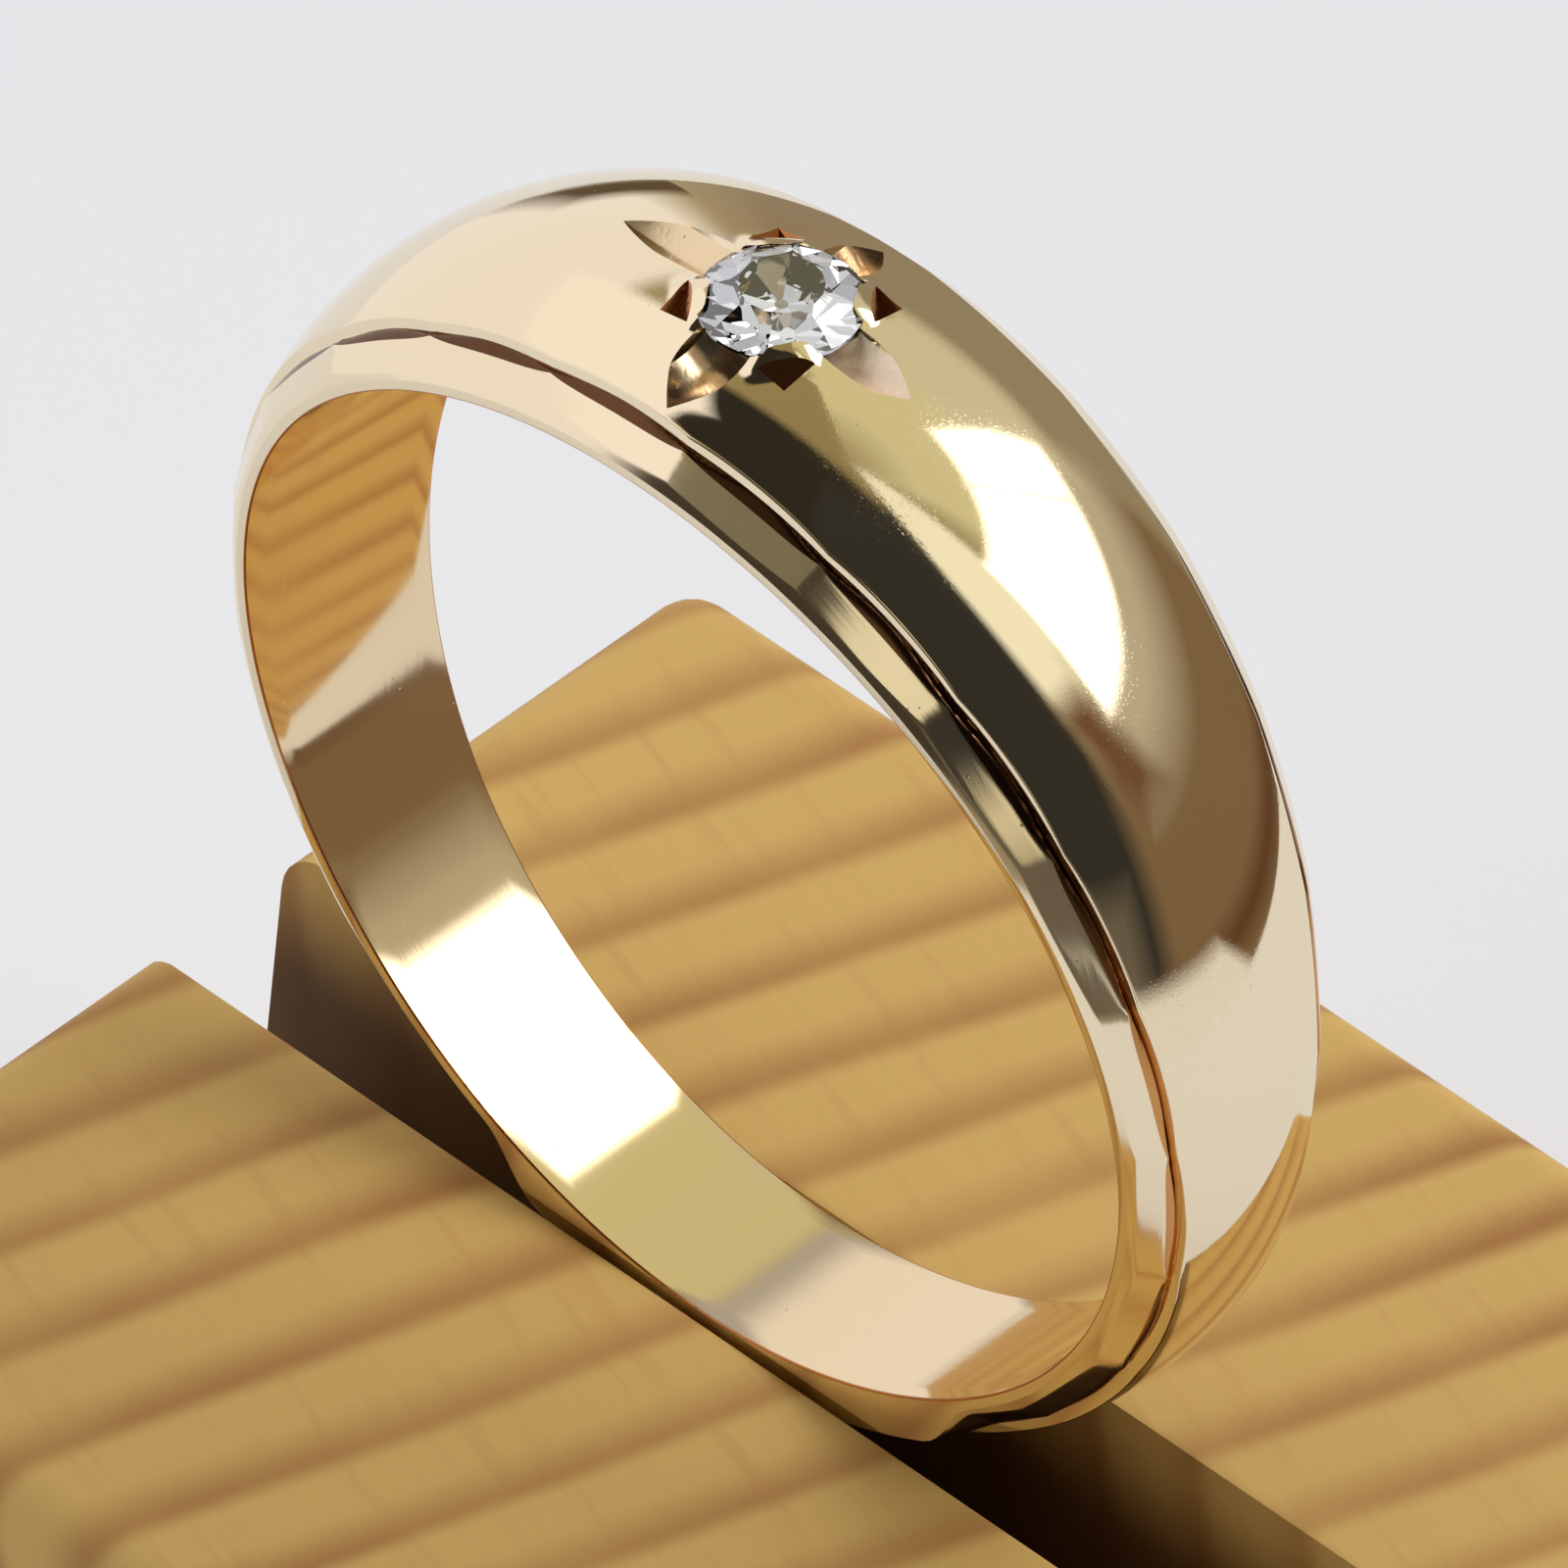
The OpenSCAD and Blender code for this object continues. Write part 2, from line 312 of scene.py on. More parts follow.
def gold(name, colour, roughness, haze, stretch, share, bump, scratch_scale):
    """Polished or graver-cut gold. Its roughness and tiny relief come from the wear group."""
    material = bpy.data.materials.new(name)
    material.use_nodes = True
    tree = material.node_tree
    surface = tree.nodes["Principled BSDF"]
    surface.inputs["Base Color"].default_value = (*colour, 1)
    surface.inputs["Metallic"].default_value = 1
    wear = add_node(tree, "ShaderNodeGroup", node_tree=wear_group)
    wear.inputs["Stretch"].default_value = stretch
    wear.inputs["Scratch Share"].default_value = share
    wear.inputs["Scratch Scale"].default_value = scratch_scale
    wear.inputs["Speck Scale"].default_value = 3000.0
    blur = add_node(tree, "ShaderNodeMapRange",
                    {"Value": wear.outputs["Haze"], "From Min": 0.35, "From Max": 0.75,
                     "To Min": roughness, "To Max": roughness + haze}).outputs["Result"]
    blur = add_node(tree, "ShaderNodeMath", {0: blur, 1: wear.outputs["Scratches"]}, operation="MAXIMUM")
    tree.links.new(blur.outputs[0], surface.inputs["Roughness"])
    relief = add_node(tree, "ShaderNodeMath", {0: wear.outputs["Scratches"], 1: wear.outputs["Specks"]},
                      operation="ADD").outputs[0]
    bumped = add_node(tree, "ShaderNodeBump", {"Height": relief, "Strength": bump, "Distance": 0.01 * mm})
    tree.links.new(bumped.outputs["Normal"], surface.inputs["Normal"])
    return material


pale_gold = (0.92, 0.785, 0.56)
graved_gold = (0.84, 0.66, 0.42)
gold_finishes = [
    # name, colour, roughness, haze, stretch of the scratches, their share, relief, their scale
    gold("gold_polished", pale_gold, 0.035, 0.05, (1, 1, 1), 0.2, 0.12, 24000),
    gold("gold_cut", pale_gold, 0.09, 0.06, (0.25, 6, 0.25), 0.3, 0.5, 2500),
    # The finger hole's gold is a darker copy of the polished gold: painted shade.
    gold("gold_inside_painted_shade", (0.88, 0.71, 0.46), 0.06, 0.08, (0.4, 4, 0.4), 0.2, 0.2, 3000),
    gold("gold_tarnished", (0.6, 0.3, 0.11), 0.15, 0.1, (0.25, 6, 0.25), 0.3, 0.5, 2500),
    gold("gold_graved", graved_gold, 0.13, 0.1, (1, 1, 0.5), 0.3, 1.0, 7000),
    # A paler copy of the graved gold, a painted highlight, and a dark brown copy, painted shade, for the
    # leaf walls.
    gold("gold_graved_painted_highlight", (1, 0.84, 0.68), 0.36, 0.1, (1, 1, 0.5), 0.5, 1.0, 7000),
    gold("gold_graved_painted_shade", (0.5, 0.31, 0.16), 0.16, 0.1, (1, 1, 0.5), 0.3, 1.0, 7000),
    gold("gold_old_polish", (0.5, 0.2, 0.07), 0.12, 0.1, (1, 1, 1), 0.3, 1.0, 7000),
]
polished, cut_gold, inside_gold_painted_shade, tarnished, graved, graved_painted_highlight, graved_painted_shade, old_polish = gold_finishes

# Old polish stays dark in the border's crescents near the head, and wears to orange down the sides.
dark_above = 26.5 * mm
orange_below = 22.5 * mm
tarnish_tree = tarnished.node_tree
tarnish_height = add_node(tarnish_tree, "ShaderNodeSeparateXYZ",
                          {0: add_node(tarnish_tree, "ShaderNodeTexCoord").outputs["Object"]}).outputs["Z"]
tarnish_share = add_node(tarnish_tree, "ShaderNodeMapRange",
                         {"Value": tarnish_height, "From Min": orange_below, "From Max": dark_above})
tarnish_colour = mixed(tarnish_tree, tarnish_share.outputs["Result"], (0.62, 0.3, 0.1, 1),
                       (0.13, 0.06, 0.03, 1))
tarnish_tree.links.new(tarnish_colour, tarnish_tree.nodes["Principled BSDF"].inputs["Base Color"])

gold_ring = bpy.data.objects.new("gold_ring", band_mesh())
bpy.context.scene.collection.objects.link(gold_ring)
for finish in gold_finishes:
    gold_ring.data.materials.append(finish)

# The star: four leaf cuts that run to the stone, and a three-sided prick behind each bead. A leaf is a vee
# with two rough walls, each under a steep polished lip.
leaf_out = 0.2 * mm
leaf_lip_slope = math.tan(math.radians(62))
leaf_cuts = [
    # reach, depth, half width, slope in degrees of one wall, slope of the other wall
    (2.6, 0.42, 0.34, 35, 45),
    (2.2, 0.44, 0.34, 45, 45),
    (3.2, 0.48, 0.36, 45, 45),
    (2.45, 0.56, 0.42, 45, 45),
]
prick_away = 1.49 * mm
prick_d = 0.2 * mm
prick_widened = 1.25
prick_block = 1.2 * mm
wheel_segments = 240
crest_z = finger_r + head_t


def wheel_cutter(reach, depth, wall_half, slopes, fall_r):
    """A wheel with a vee edge that cuts a leaf along +X, from the crest's height at the stone."""
    middle = stone_r + leaf_out
    wheel_r = 1 / (2 * depth / (reach - middle) ** 2 - 1 / fall_r)
    mesh = bmesh.new()

    def circle(r, y):
        return [mesh.verts.new((r * math.cos(a), y, r * math.sin(a)))
                for a in (2 * math.pi * i / wheel_segments for i in range(wheel_segments))]

    rim = circle(wheel_r, 0)
    for side, slope in zip((-1, 1), slopes):
        lip_r = wheel_r - wall_half * math.tan(math.radians(slope))
        lip = circle(lip_r, side * wall_half)
        tip = mesh.verts.new((0, side * (wall_half + lip_r / leaf_lip_slope), 0))
        for i in range(wheel_segments):
            j = (i + 1) % wheel_segments
            floor_face = mesh.faces.new((rim[i], rim[j], lip[j], lip[i])[::-side])
            floor_face.material_index = 1 if side < 0 else 2
            mesh.faces.new((lip[i], lip[j], tip)[::-side])
    sunk = Matrix.Translation((middle, 0, -middle ** 2 / (2 * fall_r)))
    lean = Matrix.Rotation(math.asin(middle / fall_r), 4, "Y")
    up = Matrix.Translation((0, 0, wheel_r - depth))
    mesh.transform(sunk @ lean @ up)
    return mesh


def prick_cutter():
    """The corner of a block, with its sharpest edge pointing away from the stone along +X."""
    mesh = bmesh.new()
    bmesh.ops.create_cube(mesh, size=prick_block)
    mesh.transform(Matrix.Translation((prick_block / 2, prick_block / 2, prick_block / 2)))
    stand = Matrix.Rotation(-math.atan(math.sqrt(2)), 4, "Y") @ Matrix.Rotation(math.radians(-45), 4, "Z")
    fall = prick_away ** 2 / 4 * (1 / crest_z + 1 / dome_r)
    turned = Matrix.Scale(prick_widened, 4, (0, 1, 0)) @ Matrix.Rotation(math.pi, 4, "Z") @ stand
    mesh.transform(Matrix.Translation((prick_away, 0, -fall - prick_d)) @ turned)
    return mesh


def lathe(outline, segments):
    """A closed solid turned round Z from (radius, height) pairs that start and end on the axis."""
    mesh = bmesh.new()
    rings = []
    for r, z in outline:
        if r == 0:
            rings.append([mesh.verts.new((0, 0, z))])
        else:
            rings.append([mesh.verts.new((r * math.cos(a), r * math.sin(a), z))
                          for a in (2 * math.pi * i / segments for i in range(segments))])
    for lower, upper in zip(rings, rings[1:]):
        for i in range(segments):
            j = (i + 1) % segments
            loop = [lower[i % len(lower)], lower[j % len(lower)],
                    upper[j % len(upper)], upper[i % len(upper)]]
            mesh.faces.new(list(dict.fromkeys(loop)))
    bmesh.ops.recalc_face_normals(mesh, faces=mesh.faces)
    return mesh


girdle_sink = 0.12 * mm
girdle_z = crest_z - girdle_sink
girdle_half_t = 0.03 * mm
crown_h = 0.36 * mm
table_r = 0.6 * mm
pavilion_slope = math.radians(40)
pavilion_d = stone_r * math.tan(pavilion_slope)
seat_gap = 0.02 * mm
seat_hollow = 0.12 * mm


def seat_cutter():
    """The stone's seat: clear of the girdle, hollow enough for the pavilion, and open above the table."""
    wide = stone_r + seat_gap
    mesh = lathe([(0, -pavilion_d - seat_hollow), (wide, -girdle_half_t - 2 * seat_gap),
                  (wide, girdle_half_t + 2 * seat_gap), (table_r + 2 * seat_gap, crown_h + 3 * seat_gap),
                  (table_r + 2 * seat_gap, crown_h + mm), (0, crown_h + mm)], 96)
    mesh.transform(Matrix.Translation((0, 0, girdle_z - crest_z)))
    return mesh


def cut_away(piece, cutter, *finishes):
    """Takes a cutter away from a piece and leaves the cutter's finishes on the cut."""
    mesh = bpy.data.meshes.new("cutter")
    cutter.to_mesh(mesh)
    cutter.free()
    mesh.transform(Matrix.Translation(ring_middle + Vector((0, 0, crest_z))))
    for finish in finishes:
        mesh.materials.append(finish)
    tool = bpy.data.objects.new("cutter", mesh)
    bpy.context.scene.collection.objects.link(tool)
    modifier = piece.modifiers.new("cut", "BOOLEAN")
    modifier.operation = "DIFFERENCE"
    modifier.solver = "EXACT"
    modifier.material_mode = "TRANSFER"
    modifier.object = tool
    with bpy.context.temp_override(object=piece, active_object=piece):
        bpy.ops.object.modifier_apply(modifier=modifier.name)
    bpy.data.objects.remove(tool)


leaf_falls = [crest_z, dome_r, crest_z, dome_r]
# The first leaf's walls get the pale copy, a painted highlight; one wall of each other leaf gets the brown
# copy, painted shade.
leaf_finishes = [(graved_painted_highlight, graved_painted_highlight)] + [(graved, graved_painted_shade)] * 3
for i, (reach, depth, wall_half, *slopes) in enumerate(leaf_cuts):
    cutter = wheel_cutter(reach * mm, depth * mm, wall_half * mm, slopes, leaf_falls[i])
    cutter.transform(Matrix.Rotation(i * math.pi / 2, 4, "Z"))
    cut_away(gold_ring, cutter, polished, *leaf_finishes[i])
for turn in bead_turns:
    cutter = prick_cutter()
    cutter.transform(Matrix.Rotation(turn, 4, "Z"))
    cut_away(gold_ring, cutter, old_polish)
cut_away(gold_ring, seat_cutter(), graved)

gold_ring.data.shade_smooth()
ring_sharp = math.radians(14)
gold_ring.data.set_sharp_from_angle(angle=ring_sharp)
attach(gold_ring, "root")
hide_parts("gold_band")

# The stone: a round old-cut diamond with flat facets. It is dropped into the seat, and the beads are
# pushed over its edge to hold it.
clear = bpy.data.materials.new("diamond")
clear.use_nodes = True
clear_surface = clear.node_tree.nodes["Principled BSDF"]
clear_surface.inputs["Base Color"].default_value = (0.97, 0.98, 1, 1)
clear_surface.inputs["Roughness"].default_value = 0.0
clear_surface.inputs["IOR"].default_value = 2.42
clear_surface.inputs["Transmission Weight"].default_value = 1
diamond = frame["nodes"]["diamond"]
diamond.data.materials.clear()
diamond.data.materials.append(clear)

# The stand: a sawn block of light softwood with worn edges. A slot along it, with walls that lean in a
# little towards the bottom, wedges the band's foot.
stand_low, stand_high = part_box("wood_stand")
slot_y = ring_middle.y
slot_half = 1.495 * mm
slot_d = 6 * mm
slot_lean = math.radians(6)
worn_r = 0.8 * mm
slot_worn_r = 0.25 * mm


def block_mesh():
    """The slotted block: its section in Y and Z drawn out along X, its outer edges and slot rims rounded."""
    top, bottom = stand_high.z, stand_low.z
    floor_half = slot_half - slot_d * math.tan(slot_lean)
    section = [(stand_low.y, bottom), (stand_high.y, bottom), (stand_high.y, top), (slot_y + slot_half, top),
               (slot_y + floor_half, top - slot_d), (slot_y - floor_half, top - slot_d),
               (slot_y - slot_half, top), (stand_low.y, top)]
    mesh = bmesh.new()
    ends = [[mesh.verts.new((x, y, z)) for y, z in section] for x in (stand_low.x, stand_high.x)]
    count = len(section)
    mesh.faces.new(ends[0][::-1])
    mesh.faces.new(ends[1])
    for i in range(count):
        mesh.faces.new((ends[0][i], ends[0][(i + 1) % count], ends[1][(i + 1) % count], ends[1][i]))
    in_slot = [e for e in mesh.edges if all(abs(v.co.y - slot_y) < slot_half * 1.01 for v in e.verts)]
    outer = [e for e in mesh.edges if e not in in_slot]
    bmesh.ops.bevel(mesh, geom=outer, offset=worn_r, segments=6, profile=0.5, affect="EDGES")
    rims = [e for e in mesh.edges if e.is_valid and abs(e.verts[0].co.z - top) < 1e-7
            and abs(e.verts[1].co.z - top) < 1e-7
            and all(abs(abs(v.co.y - slot_y) - slot_half) < 1e-6 for v in e.verts)]
    bmesh.ops.bevel(mesh, geom=rims, offset=slot_worn_r, segments=4, profile=0.5, affect="EDGES")
    built = bpy.data.meshes.new("wood_block")
    mesh.to_mesh(built)
    mesh.free()
    return built


# Softwood: growth rings as soft brown lines that cross the block aslant, and fine fibres along them.
grain_turn = math.radians(-18.4)
ring_gap = 1.9 * mm
wood = bpy.data.materials.new("softwood")
wood.use_nodes = True
wood_tree = wood.node_tree
wood_surface = wood_tree.nodes["Principled BSDF"]
grain_group, grain_in, grain_out = group_with(
    "growth_rings",
    [("Ring Gap", "NodeSocketFloat", ring_gap), ("Waviness", "NodeSocketFloat", 0.5)],
    [("Rings", "NodeSocketFloat"), ("Fibres", "NodeSocketFloat"), ("Patches", "NodeSocketFloat")])
grain_place = add_node(grain_group, "ShaderNodeTexCoord").outputs["Object"]
along_grain = add_node(grain_group, "ShaderNodeVectorRotate", {"Vector": grain_place, "Angle": -grain_turn},
                       rotation_type="Z_AXIS").outputs[0]
long_waves = add_node(grain_group, "ShaderNodeVectorMath", {0: along_grain, 1: (1, 0.35, 0.6)},
                      operation="MULTIPLY").outputs[0]
wander = add_node(grain_group, "ShaderNodeTexNoise", {"Vector": long_waves, "Scale": 170.0, "Detail": 2.0})
grain_axes = add_node(grain_group, "ShaderNodeSeparateXYZ", {0: along_grain}).outputs
slanted = add_node(grain_group, "ShaderNodeMath", {0: grain_axes["Z"], 1: 0.3, 2: grain_axes["X"]},
                   operation="MULTIPLY_ADD").outputs[0]
counted = add_node(grain_group, "ShaderNodeMath", {0: slanted, 1: grain_in["Ring Gap"]},
                   operation="DIVIDE").outputs[0]
counted = add_node(grain_group, "ShaderNodeMath",
                   {0: wander.outputs["Fac"], 1: grain_in["Waviness"], 2: counted},
                   operation="MULTIPLY_ADD").outputs[0]
year = add_node(grain_group, "ShaderNodeMath", {0: counted}, operation="FRACT").outputs[0]
late = add_node(grain_group, "ShaderNodeMapRange", {"Value": year, "From Min": 0.3, "From Max": 0.85},
                interpolation_type="SMOOTHSTEP").outputs["Result"]
fade = add_node(grain_group, "ShaderNodeMapRange",
                {"Value": year, "From Min": 1.0, "From Max": 0.76}, interpolation_type="SMOOTHSTEP")
rings = add_node(grain_group, "ShaderNodeMath", {0: late, 1: fade.outputs["Result"]},
                 operation="MULTIPLY").outputs[0]
grain_group.links.new(rings, grain_out["Rings"])
long_threads = add_node(grain_group, "ShaderNodeVectorMath", {0: along_grain, 1: (0.1, 1, 0.3)},
                        operation="MULTIPLY").outputs[0]
fibres = add_node(grain_group, "ShaderNodeTexNoise",
                  {"Vector": long_threads, "Scale": 2600.0, "Detail": 3.0})
grain_group.links.new(fibres.outputs["Fac"], grain_out["Fibres"])
stains = add_node(grain_group, "ShaderNodeTexNoise", {"Vector": grain_place, "Scale": 140.0, "Detail": 3.0})
grain_group.links.new(stains.outputs["Fac"], grain_out["Patches"])

grain = add_node(wood_tree, "ShaderNodeGroup", node_tree=grain_group)
grain.inputs["Ring Gap"].default_value = ring_gap
grain.inputs["Waviness"].default_value = 0.5
ring_share = add_node(wood_tree, "ShaderNodeMath", {0: grain.outputs["Rings"], 1: grain.outputs["Patches"]},
                      operation="MULTIPLY").outputs[0]
ring_share = add_node(wood_tree, "ShaderNodeMath", {0: ring_share, 1: 1.45}, operation="MULTIPLY").outputs[0]
wood_colour = mixed(wood_tree, ring_share, (0.56, 0.355, 0.105, 1), (0.33, 0.145, 0.038, 1))
fibre_share = add_node(wood_tree, "ShaderNodeMapRange",
                       {"Value": grain.outputs["Fibres"], "From Min": 0.55, "From Max": 0.8, "To Max": 0.35})
wood_colour = mixed(wood_tree, fibre_share.outputs["Result"], wood_colour, (0.42, 0.21, 0.06, 1))

# Painted shade: the walls of the slot are darkened to dark brown, more so the deeper they lie.
wood_place = add_node(wood_tree, "ShaderNodeTexCoord").outputs["Object"]
wood_axes = add_node(wood_tree, "ShaderNodeSeparateXYZ", {0: wood_place}).outputs
from_slot = add_node(wood_tree, "ShaderNodeMath", {0: wood_axes["Y"], 1: slot_y},
                     operation="SUBTRACT").outputs[0]
from_slot = add_node(wood_tree, "ShaderNodeMath", {0: from_slot}, operation="ABSOLUTE").outputs[0]
slot_shade_masks = [
    # value, where the painted shade starts, where it is full
    (from_slot, slot_half + 0.1 * mm, slot_half),
    (wood_axes["Z"], stand_high.z - 0.2 * mm, stand_high.z - 2.4 * mm),
    (wood_axes["Z"], stand_high.z - slot_d - 0.1 * mm, stand_high.z - slot_d - 0.02 * mm),
]
slot_shade = 0.92
for value, none_at, full_at in slot_shade_masks:
    slot_shade_mask = add_node(wood_tree, "ShaderNodeMapRange",
                         {"Value": value, "From Min": none_at, "From Max": full_at},
                         interpolation_type="SMOOTHSTEP").outputs["Result"]
    slot_shade = add_node(wood_tree, "ShaderNodeMath", {0: slot_shade_mask, 1: slot_shade},
                          operation="MULTIPLY").outputs[0]
# The wood mixed towards dark brown in the slot: painted shade.
wood_colour = mixed(wood_tree, slot_shade, wood_colour, (0.1, 0.042, 0.013, 1))
wood_tree.links.new(wood_colour, wood_surface.inputs["Base Color"])
wood_surface.inputs["Roughness"].default_value = 0.62
wood_surface.inputs["Specular IOR Level"].default_value = 0.25
wood_relief = add_node(wood_tree, "ShaderNodeBump",
                       {"Height": grain.outputs["Fibres"], "Strength": 0.35, "Distance": 0.05 * mm})
wood_tree.links.new(wood_relief.outputs["Normal"], wood_surface.inputs["Normal"])

wood_block = bpy.data.objects.new("wood_block", block_mesh())
bpy.context.scene.collection.objects.link(wood_block)
wood_block.data.materials.append(wood)
wood_block.data.shade_smooth()
block_sharp = math.radians(35)
wood_block.data.set_sharp_from_angle(angle=block_sharp)
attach(wood_block, "root")
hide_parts("wood_stand")

# The floor: a wide sheet of pale matt paper under the stand. Polished metal mirrors only its near part.
floor_reach = 1.5
paper = bpy.data.materials.new("pale_paper")
paper.use_nodes = True
paper_surface = paper.node_tree.nodes["Principled BSDF"]
paper_surface.inputs["Base Color"].default_value = (0.755, 0.76, 0.785, 1)
paper_surface.inputs["Roughness"].default_value = 0.9
paper_surface.inputs["Specular IOR Level"].default_value = 0.2
near_reach = 0.085
near_middle = (-0.018, 0.018, 0)
reach = add_node(paper.node_tree, "ShaderNodeVectorMath",
                 {0: add_node(paper.node_tree, "ShaderNodeTexCoord").outputs["Object"], 1: near_middle},
                 operation="DISTANCE")
beyond = add_node(paper.node_tree, "ShaderNodeMath", {0: reach.outputs["Value"], 1: near_reach},
                  operation="GREATER_THAN").outputs[0]
mirrored = add_node(paper.node_tree, "ShaderNodeLightPath").outputs["Is Glossy Ray"]
hidden = add_node(paper.node_tree, "ShaderNodeMath", {0: beyond, 1: mirrored},
                  operation="MULTIPLY").outputs[0]
see_through = add_node(paper.node_tree, "ShaderNodeBsdfTransparent").outputs[0]
paper_mix = add_node(paper.node_tree, "ShaderNodeMixShader",
                     {0: hidden, 1: paper_surface.outputs[0], 2: see_through})
paper.node_tree.links.new(paper_mix.outputs[0], paper.node_tree.nodes["Material Output"].inputs["Surface"])
sheet = bmesh.new()
bmesh.ops.create_circle(sheet, cap_ends=True, segments=96, radius=floor_reach)
floor_mesh = bpy.data.meshes.new("floor")
sheet.to_mesh(floor_mesh)
sheet.free()
floor_mesh.materials.append(paper)
floor = bpy.data.objects.new("floor", floor_mesh)
bpy.context.scene.collection.objects.link(floor)

# The room: soft patches of light and shade round the ring, as it shows in polished metal. Each is placed
# by its direction from the ring: the azimuth is 0 towards -Y and 90 towards +X, in degrees.
world = bpy.data.worlds.new("room")
bpy.context.scene.world = world
world.use_nodes = True
room_tree = world.node_tree
patch_group, patch_in, patch_out = group_with(
    "soft_patch",
    [("Bearing", "NodeSocketFloat", 0.0), ("Height", "NodeSocketFloat", 0.0),
     ("Azimuth", "NodeSocketFloat", 0.0), ("Elevation", "NodeSocketFloat", 0.0),
     ("Half Width", "NodeSocketFloat", 10.0), ("Half Height", "NodeSocketFloat", 10.0),
     ("Lean", "NodeSocketFloat", 0.0), ("Softness", "NodeSocketFloat", 4.0)],
    [("Mask", "NodeSocketFloat")])


def sum_of(tree, operation, *values, **settings):
    """A maths node's result, from numbers or outputs."""
    node = add_node(tree, "ShaderNodeMath", dict(enumerate(values)), operation=operation, **settings)
    return node.outputs[0]


above = sum_of(patch_group, "SUBTRACT", patch_in["Height"], patch_in["Elevation"])
aside = sum_of(patch_group, "SUBTRACT", patch_in["Bearing"], patch_in["Azimuth"])
aside = sum_of(patch_group, "MULTIPLY_ADD", above, patch_in["Lean"], aside)
aside = sum_of(patch_group, "ABSOLUTE", aside)
above = sum_of(patch_group, "ABSOLUTE", above)
inside = sum_of(patch_group, "MINIMUM", sum_of(patch_group, "SUBTRACT", patch_in["Half Width"], aside),
                sum_of(patch_group, "SUBTRACT", patch_in["Half Height"], above))
mask = sum_of(patch_group, "DIVIDE", inside, patch_in["Softness"])
mask = sum_of(patch_group, "ADD", mask, 0.5, use_clamp=True)
patch_group.links.new(mask, patch_out["Mask"])

room_patches = [
    # name, azimuth, elevation, half width, half height, lean, softness, brightness, colour
    ("far_ceiling", 178, 58, 55, 26, 0, 18, 0.66, (1, 0.95, 0.6)),
    ("grey_wall", -132, 36, 14, 16, 0, 8, 0.48, (0.95, 0.93, 1)),
    ("left_panel", -78, 4, 54, 33, 0, 5, 0.92, (1, 0.97, 0.98)),
    ("left_panel_top", -81, 44, 24, 18, 0, 4, 1.0, (1, 0.97, 0.97)),
    ("left_panel_corner", -62, 44, 20, 17, 1.2, 4, 1.0, (1, 0.97, 0.97)),
    ("left_wall", 214, 0, 9, 40, 0, 8, 0.3, (1, 0.8, 0.58)),
    ("cream_strip", 97, 62, 17, 26, 0, 6, 0.96, (1, 1, 0.85)),
    ("dark_screen", 56, 34, 39, 46, 0.4, 5, 0.035, (1, 0.95, 0.85)),
    ("front_dark", 2, 26, 26, 30, 0, 6, 0.06, (1, 0.8, 0.56)),
    ("front_low", -8, 2, 24, 17, 0, 6, 0.05, (1, 0.85, 0.62)),
    ("front_olive", -14, 36, 12, 14, 0, 6, 0.2, (1, 0.9, 0.62)),
    ("front_gap", 19, 31, 6.5, 9, 0, 3, 0.85, (1, 0.95, 0.76)),
    ("front_gold", 38.5, 9, 3.5, 6, 0, 2.5, 0.75, (1, 0.92, 0.68)),
    ("low_shade", 50, -8, 40, 14, 0, 8, 0.14, (1, 0.86, 0.66)),
    ("brown_wall", 138, 0, 40, 26, 0, 8, 0.21, (1, 0.68, 0.38)),
    ("floor_end", 135, -13, 42, 3, 0, 5, 0.12, (1, 0.5, 0.24)),
    ("floor_front", 94, -19.5, 36, 8.5, 1.5, 4, 0.78, (1, 0.99, 0.96)),
    ("far_floor_end", -138, -10, 14, 6, 0, 6, 0.12, (1, 0.7, 0.42)),
    ("lit_wall", 152, 27, 40, 11, 0, 14, 0.5, (1, 0.93, 0.74)),
    ("olive_wall", 194, 8, 17, 18, 0, 8, 0.3, (1, 0.86, 0.6)),
    ("olive_wall_top", 192, 39, 18, 13, 0, 8, 0.64, (1, 0.95, 0.73)),
    ("soft_box", 144, 45, 30, 13.5, 0, 7, 5, (1, 1, 1)),
    ("soft_box_bar", 159, 46, 1.3, 16, 0.4, 2, 1.2, (1, 0.97, 0.85)),
    ("warm_strip", 106, 26, 6, 11, 0.6, 8, 0.16, (1, 0.5, 0.28)),
]
seam = 225.0
facing_out = add_node(room_tree, "ShaderNodeTexCoord").outputs["Generated"]
axes = add_node(room_tree, "ShaderNodeSeparateXYZ", {0: facing_out}).outputs
up_share = axes["Z"]
bearing = sum_of(room_tree, "ARCTAN2", axes["X"], sum_of(room_tree, "MULTIPLY", axes["Y"], -1.0))
bearing = sum_of(room_tree, "WRAP", sum_of(room_tree, "DEGREES", bearing), seam, seam - 360)
height = sum_of(room_tree, "DEGREES", sum_of(room_tree, "ARCSINE", up_share))
ceiling = add_node(room_tree, "ShaderNodeMapRange", {"Value": up_share, "From Min": 0.4, "From Max": 1.0})
bare_room = mixed(room_tree, ceiling.outputs[0], (0.42, 0.36, 0.24, 1), (0.3, 0.245, 0.12, 1))


def with_patches(colour, names):
    """The room's colour with the named patches laid over it in turn."""
    for name, azimuth, elevation, half_wide, half_high, lean, softness, brightness, tint in room_patches:
        if name not in names:
            continue
        patch = add_node(room_tree, "ShaderNodeGroup", node_tree=patch_group, label=name)
        room_tree.links.new(bearing, patch.inputs["Bearing"])
        room_tree.links.new(height, patch.inputs["Height"])
        for label, value in (("Azimuth", azimuth), ("Elevation", elevation), ("Half Width", half_wide),
                             ("Half Height", half_high), ("Lean", lean), ("Softness", softness)):
            patch.inputs[label].default_value = value
        glow = [brightness * c for c in tint]
        colour = mixed(room_tree, patch.outputs["Mask"], colour, (*glow, 1))
    return colour


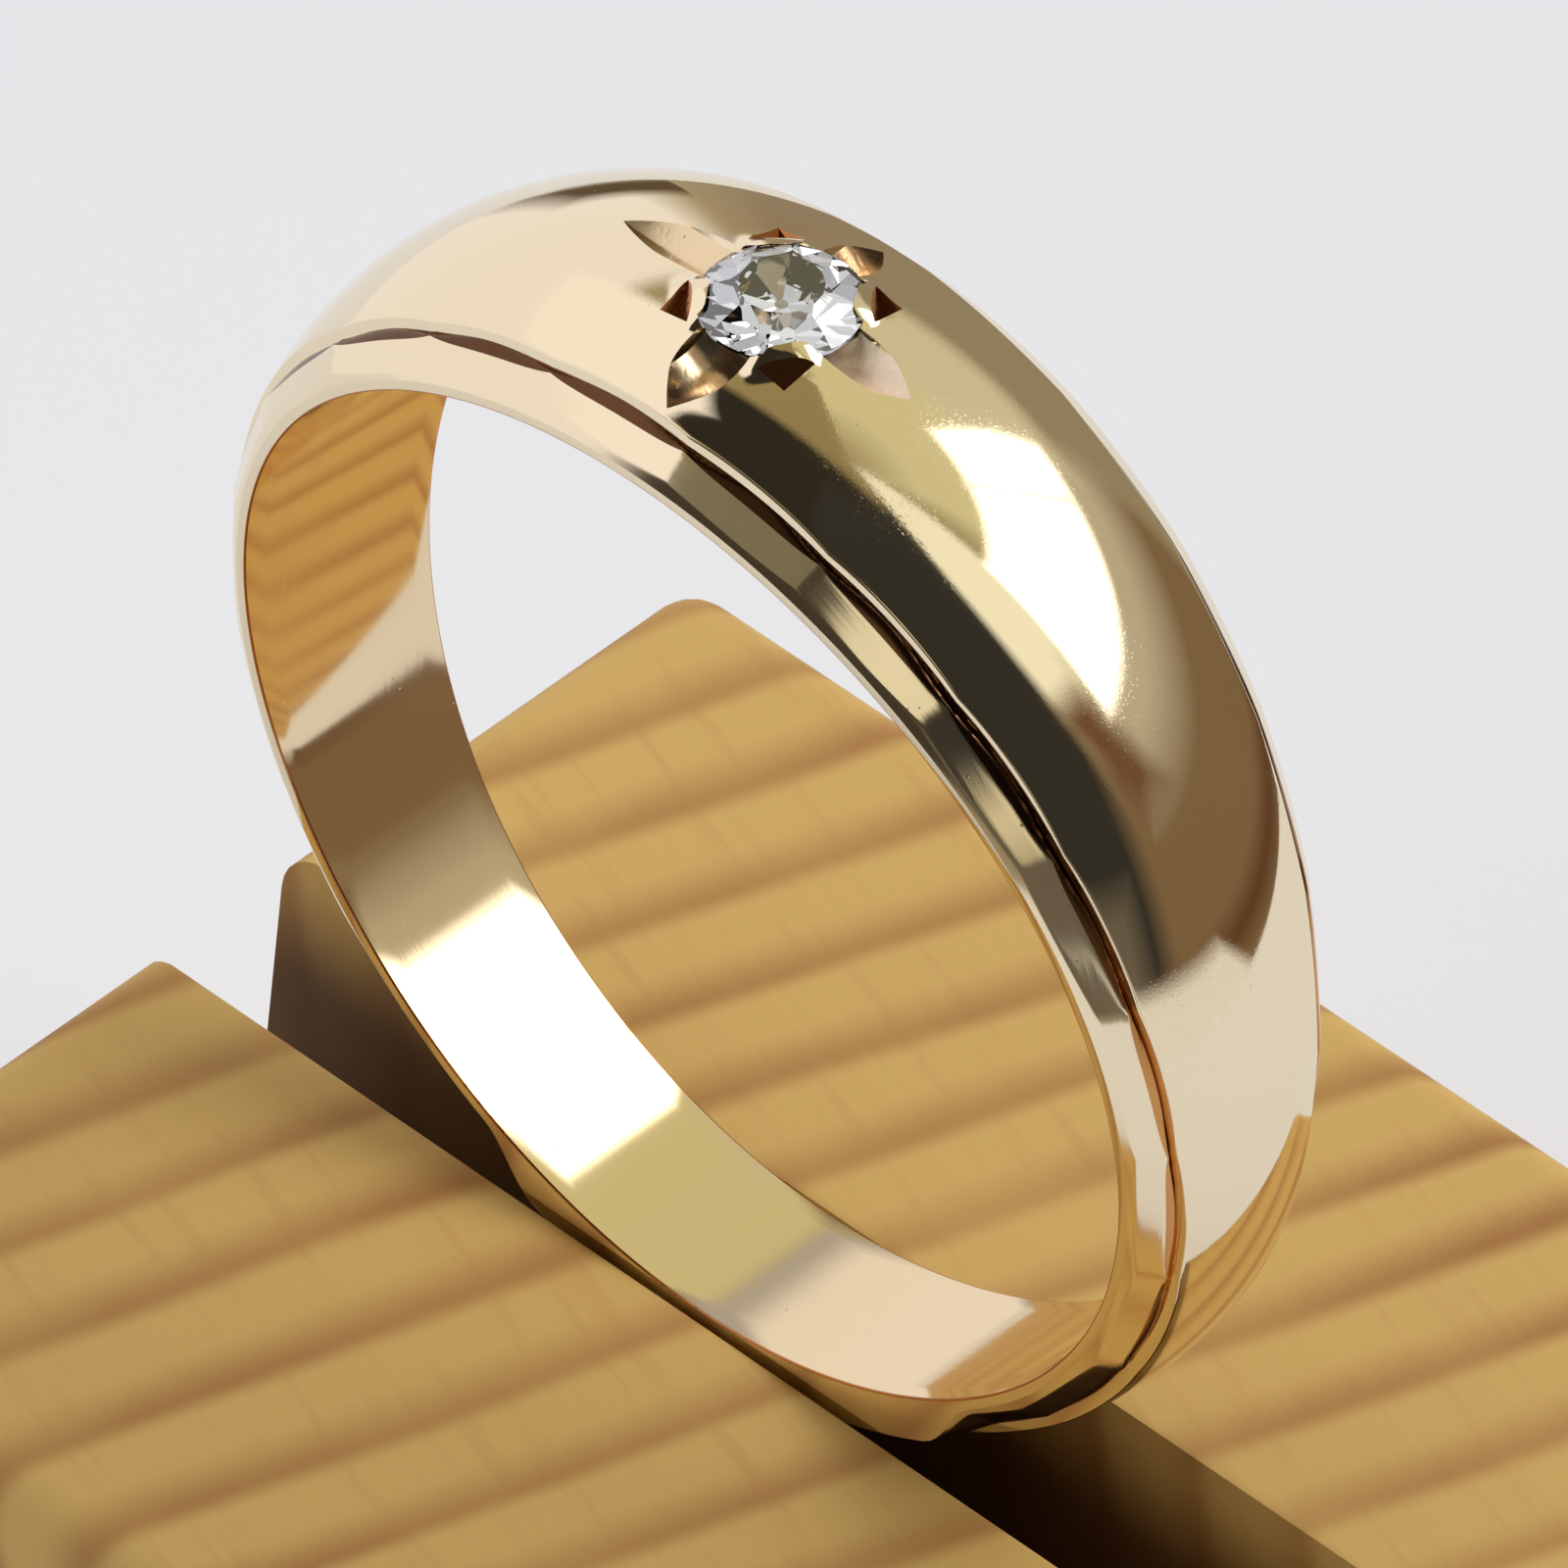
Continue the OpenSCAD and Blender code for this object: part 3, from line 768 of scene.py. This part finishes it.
# A dark canopy over the front of the room, from near the zenith down.
canopy_front = add_node(room_tree, "ShaderNodeMapRange",
                        {"Value": sum_of(room_tree, "MULTIPLY", axes["Y"], -1.0), "From Min": 0.05,
                         "From Max": 0.1}).outputs[0]
canopy_up = add_node(room_tree, "ShaderNodeMapRange",
                     {"Value": height, "From Min": 49.0, "From Max": 53.0}).outputs[0]
canopy = sum_of(room_tree, "MULTIPLY", canopy_front, canopy_up)
patch_names = [patch[0] for patch in room_patches]
under = with_patches(bare_room, patch_names[:1])
under = mixed(room_tree, canopy, under, (0.028, 0.024, 0.018, 1))
whole_room = with_patches(under, patch_names[1:])
plain_room = with_patches((0.92, 0.92, 0.92, 1), ("left_panel", "dark_screen", "soft_box"))

# Polished metal and the stone mirror the whole room; matt things are lit by its plainer form.
rays = add_node(room_tree, "ShaderNodeLightPath").outputs
through_stone = sum_of(room_tree, "MULTIPLY", rays["Is Transmission Ray"], 0.68)
whole_room = mixed(room_tree, through_stone, whole_room, (0.85, 0.86, 0.9, 1))
mirrored_room = room_tree.nodes["Background"]
room_tree.links.new(whole_room, mirrored_room.inputs["Color"])
lighting_room = add_node(room_tree, "ShaderNodeBackground", {"Color": plain_room})
backdrop = add_node(room_tree, "ShaderNodeBackground", {"Color": (0.8, 0.8, 0.82, 1)})
sharp_ray = sum_of(room_tree, "MAXIMUM", rays["Is Glossy Ray"], rays["Is Transmission Ray"])
lit = add_node(room_tree, "ShaderNodeMixShader",
               {0: sharp_ray, 1: lighting_room.outputs[0], 2: mirrored_room.outputs[0]})
seen = add_node(room_tree, "ShaderNodeMixShader",
                {0: rays["Is Camera Ray"], 1: lit.outputs[0], 2: backdrop.outputs[0]})
room_tree.links.new(seen.outputs[0], room_tree.nodes["World Output"].inputs["Surface"])

# The camera: a long lens at the photograph's angle, turned a little about its own axis.
camera_azimuth = 42.9
camera_elevation = 43.13
camera_roll = 1.24
camera_away = 0.4
ring_left_of_middle = 0.193 * mm
ring_below_middle = 0.608 * mm
lens = bpy.data.cameras.new("camera")
lens.lens = 650.9
lens.sensor_width = 36
lens.clip_start = 0.01
lens.clip_end = 10
camera = bpy.data.objects.new("camera", lens)
facing = (Matrix.Rotation(math.radians(camera_azimuth), 3, "Z")
          @ Matrix.Rotation(math.radians(90 - camera_elevation), 3, "X")
          @ Matrix.Rotation(math.radians(camera_roll), 3, "Z"))
camera.matrix_world = (Matrix.Translation(ring_middle + facing
                                          @ Vector((ring_left_of_middle, ring_below_middle, camera_away)))
                       @ facing.to_4x4())
bpy.context.scene.collection.objects.link(camera)
bpy.context.scene.camera = camera
bpy.context.scene.view_settings.view_transform = "Standard"
